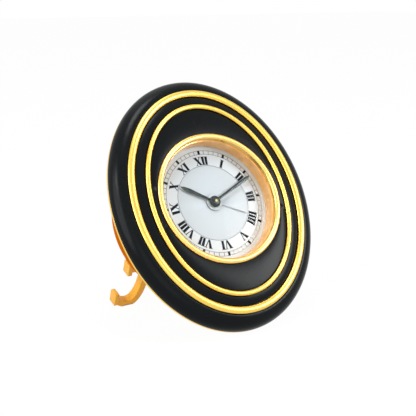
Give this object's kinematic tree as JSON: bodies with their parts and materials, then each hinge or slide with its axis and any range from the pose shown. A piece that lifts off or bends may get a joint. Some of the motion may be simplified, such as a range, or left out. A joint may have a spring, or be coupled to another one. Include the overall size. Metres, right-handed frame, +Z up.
{
  "type": "mechanical alarm clock",
  "caption": "Small oval desk alarm clock with a black and gilt front, Roman numeral dial, wind-up movement and a folding stand.",
  "frame": {"origin": "on the ground, under the middle of the bounding box", "axes": "+Z up, -Y the way the dial faces, +X to the right of a viewer who looks at the dial"},
  "size_m": [0.0746, 0.0584, 0.077],
  "materials": {
    "lacquer": "gloss",
    "gilt": "polished",
    "warm_gilt": "satin",
    "movement_brass": "satin",
    "steel": "satin",
    "blued_steel": "satin",
    "hand_paint": "satin",
    "dial_paint": "satin",
    "glass": "clear"
  },
  "bodies": {
    "case": {"front_frame": "lacquer", "outer_ring": "gilt", "inner_ring": "gilt", "bezel": "gilt", "crystal": "glass", "reflector_ring": "warm_gilt", "dial": "dial_paint", "back_plate": "gilt", "rear_can": "warm_gilt", "rear_cover": "warm_gilt", "cover_screw_1": "steel", "cover_screw_2": "steel", "cover_screw_3": "steel", "cover_screw_4": "steel", "stand_bracket": "warm_gilt", "stand_hinge_pin": "steel", "front_plate": "movement_brass", "rear_plate": "movement_brass", "plate_pillar_1": "movement_brass", "plate_pillar_2": "movement_brass", "plate_pillar_3": "movement_brass", "plate_pillar_4": "movement_brass", "alarm_gong": "steel", "alarm_release_spring": "steel"},
    "stand": {"stand_leg": "warm_gilt"},
    "winding": {"winding_arbor": "steel", "winding_key": "gilt"},
    "barrel": {"going_barrel": "movement_brass", "mainspring": "blued_steel"},
    "centre": {"centre_wheel": "movement_brass"},
    "third": {"third_wheel": "movement_brass"},
    "fourth": {"fourth_wheel": "movement_brass"},
    "escape": {"escape_wheel": "movement_brass"},
    "pallets": {"pallet_lever": "steel"},
    "balance": {"balance_wheel": "movement_brass", "hairspring": "blued_steel"},
    "regulator": {"regulator_lever": "steel"},
    "winding_click": {"click": "steel"},
    "hand_setting": {"hand_setting_arbor": "steel", "hand_setting_knob": "gilt"},
    "minute_work": {"cannon_pinion": "steel", "minute_hand": "hand_paint"},
    "motion_wheel": {"minute_wheel": "movement_brass"},
    "hour_work": {"hour_wheel": "movement_brass", "hour_hand": "hand_paint"},
    "alarm_setting": {"alarm_setting_arbor": "steel", "alarm_setting_knob": "gilt"},
    "alarm_time": {"alarm_wheel": "movement_brass", "alarm_hand": "gilt"},
    "alarm_winding": {"alarm_winding_arbor": "steel", "alarm_winding_key": "gilt"},
    "alarm_drum": {"alarm_barrel": "movement_brass", "alarm_mainspring": "blued_steel"},
    "alarm_strike": {"alarm_strike_wheel": "movement_brass"},
    "hammer": {"alarm_hammer": "steel"},
    "alarm_winding_click": {"alarm_click": "steel"},
    "stop_button": {"alarm_stop_button": "gilt"}
  },
  "joints": [
    {"name": "stand_fold", "type": "hinge", "parent": "case", "child": "stand", "pos_m": [0, 0.01219, 0.0175], "axis": [1, 0, 0], "range_deg": [-50, 0]},
    {"name": "winding_turn", "type": "hinge", "parent": "case", "child": "winding", "pos_m": [-0.00859, -0.00448, 0.04899], "axis": [0, -0.8517, 0.524], "range_deg": [0, 1800]},
    {"name": "barrel_turn", "type": "hinge", "parent": "case", "child": "barrel", "pos_m": [-0.00859, -0.00448, 0.04899], "axis": [0, -0.8517, 0.524], "continuous": true},
    {"name": "centre_turn", "type": "hinge", "parent": "case", "child": "centre", "pos_m": [0, -0.00898, 0.04167], "axis": [0, -0.8517, 0.524], "continuous": true},
    {"name": "third_turn", "type": "hinge", "parent": "case", "child": "third", "pos_m": [0.00683, -0.01198, 0.0368], "axis": [0, -0.8517, 0.524], "continuous": true},
    {"name": "fourth_turn", "type": "hinge", "parent": "case", "child": "fourth", "pos_m": [0.00278, -0.01566, 0.03082], "axis": [0, -0.8517, 0.524], "continuous": true},
    {"name": "escape_turn", "type": "hinge", "parent": "case", "child": "escape", "pos_m": [-0.00485, -0.01601, 0.03025], "axis": [0, -0.8517, 0.524], "continuous": true},
    {"name": "pallet_rock", "type": "hinge", "parent": "case", "child": "pallets", "pos_m": [-0.00929, -0.01538, 0.03127], "axis": [0, -0.8517, 0.524], "range_deg": [-6, 6]},
    {"name": "balance_swing", "type": "hinge", "parent": "case", "child": "balance", "pos_m": [-0.01412, -0.01326, 0.03472], "axis": [0, -0.8517, 0.524], "range_deg": [-220, 220]},
    {"name": "regulator_shift", "type": "hinge", "parent": "case", "child": "regulator", "pos_m": [-0.01412, -0.01326, 0.03472], "axis": [0, -0.8517, 0.524], "range_deg": [-16, 16]},
    {"name": "click_lift", "type": "hinge", "parent": "case", "child": "winding_click", "pos_m": [-0.01076, -0.00761, 0.04391], "axis": [0, -0.8517, 0.524], "range_deg": [0, 14]},
    {"name": "hand_setting_turn", "type": "hinge", "parent": "case", "child": "hand_setting", "pos_m": [-0.0155, -0.00934, 0.0411], "axis": [0, -0.8517, 0.524], "continuous": true},
    {"name": "minute_hand_turn", "type": "hinge", "parent": "case", "child": "minute_work", "pos_m": [0, -0.00898, 0.04167], "axis": [0, -0.8517, 0.524], "continuous": true},
    {"name": "minute_wheel_turn", "type": "hinge", "parent": "case", "child": "motion_wheel", "pos_m": [-0.00754, -0.01175, 0.03718], "axis": [0, -0.8517, 0.524], "continuous": true},
    {"name": "hour_hand_turn", "type": "hinge", "parent": "case", "child": "hour_work", "pos_m": [0, -0.00898, 0.04167], "axis": [0, -0.8517, 0.524], "continuous": true},
    {"name": "alarm_setting_turn", "type": "hinge", "parent": "case", "child": "alarm_setting", "pos_m": [0.00889, -0.00773, 0.0437], "axis": [0, -0.8517, 0.524], "continuous": true},
    {"name": "alarm_hand_turn", "type": "hinge", "parent": "case", "child": "alarm_time", "pos_m": [0, -0.00898, 0.04167], "axis": [0, -0.8517, 0.524], "continuous": true},
    {"name": "alarm_winding_turn", "type": "hinge", "parent": "case", "child": "alarm_winding", "pos_m": [0.011, -0.00269, 0.05189], "axis": [0, -0.8517, 0.524], "range_deg": [-1080, 0]},
    {"name": "alarm_barrel_turn", "type": "hinge", "parent": "case", "child": "alarm_drum", "pos_m": [0.011, -0.00269, 0.05189], "axis": [0, -0.8517, 0.524], "continuous": true},
    {"name": "alarm_strike_turn", "type": "hinge", "parent": "case", "child": "alarm_strike", "pos_m": [0.00265, -0.00152, 0.0538], "axis": [0, -0.8517, 0.524], "continuous": true},
    {"name": "hammer_swing", "type": "hinge", "parent": "case", "child": "hammer", "pos_m": [-0.0005, 0.00134, 0.05845], "axis": [0, -0.8517, 0.524], "range_deg": [-0.5, 14]},
    {"name": "alarm_click_lift", "type": "hinge", "parent": "case", "child": "alarm_winding_click", "pos_m": [0.01317, -0.00582, 0.04681], "axis": [0, -0.8517, 0.524], "range_deg": [-14, 0]},
    {"name": "stop_button_push", "type": "slide", "parent": "case", "child": "stop_button", "axis": [0, -0.8517, 0.524], "range_m": [0, 0.0016], "stiffness_N_per_m": 200}
  ],
  "couplings": [
    {"joint": "fourth_turn", "follows": "escape_turn", "ratio": -0.13333},
    {"joint": "third_turn", "follows": "escape_turn", "ratio": 0.016667},
    {"joint": "centre_turn", "follows": "escape_turn", "ratio": -0.0020833},
    {"joint": "barrel_turn", "follows": "escape_turn", "ratio": 0.00052083},
    {"joint": "minute_wheel_turn", "follows": "hand_setting_turn", "ratio": -0.33333},
    {"joint": "minute_hand_turn", "follows": "hand_setting_turn", "ratio": 1},
    {"joint": "hour_hand_turn", "follows": "hand_setting_turn", "ratio": 0.083333},
    {"joint": "alarm_hand_turn", "follows": "alarm_setting_turn", "ratio": -0.25},
    {"joint": "alarm_strike_turn", "follows": "alarm_barrel_turn", "ratio": -5}
  ]
}
